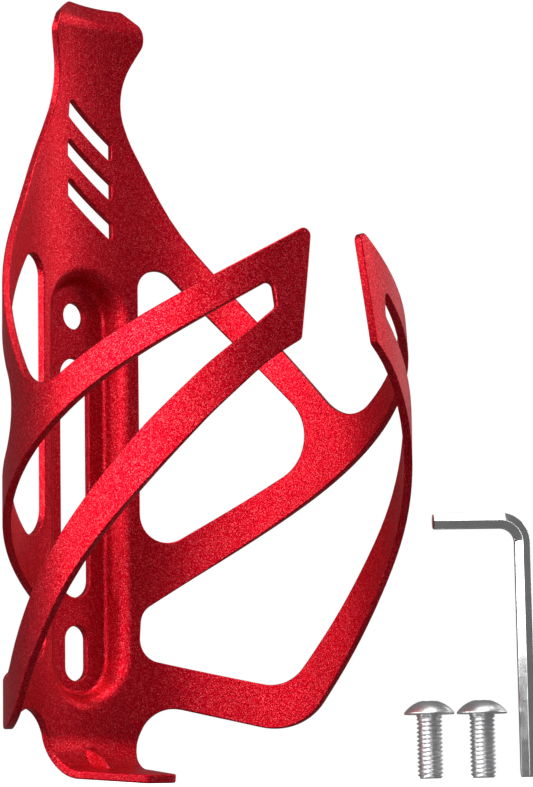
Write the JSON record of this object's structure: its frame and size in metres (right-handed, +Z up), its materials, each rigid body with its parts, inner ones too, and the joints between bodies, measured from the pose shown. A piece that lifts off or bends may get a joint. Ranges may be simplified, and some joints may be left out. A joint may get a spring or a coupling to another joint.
{
  "type": "water bottle cage",
  "caption": "Sheet metal bicycle bottle cage with open side loops, a sprung top tongue and a bent foot, with its loose mounting bolts and hex key.",
  "frame": {"origin": "on the plane that the bicycle frame touches, midway between the two bolt positions, on the spine's centre line", "axes": "+Z up the spine towards the tongue; +Y out of the back, into the bicycle frame; the bottle's axis is parallel to Z, 41.9 mm in front, at -Y; +X to the right seen from the front"},
  "size_m": [0.0976, 0.0781, 0.1523],
  "materials": {
    "cage_sheet": "bead blasted, red anodised, satin with fine sparkle",
    "bolt_steel": "plain stainless, semi-bright",
    "key_chrome": "bright plated"
  },
  "bodies": {
    "cage": {"cage_body": "cage_sheet"},
    "bolt_1": {"mounting_bolt_1": "bolt_steel"},
    "bolt_2": {"mounting_bolt_2": "bolt_steel"},
    "key": {"hex_key": "key_chrome"}
  },
  "joints": [
    {"name": "bolt_1_lift", "type": "slide", "parent": "cage", "child": "bolt_1", "axis": [0, 0, 1], "range_m": [0, 0.03]},
    {"name": "bolt_2_lift", "type": "slide", "parent": "cage", "child": "bolt_2", "axis": [0, 0, 1], "range_m": [0, 0.03]},
    {"name": "key_lift", "type": "slide", "parent": "cage", "child": "key", "axis": [0, 0, 1], "range_m": [0, 0.06]}
  ]
}
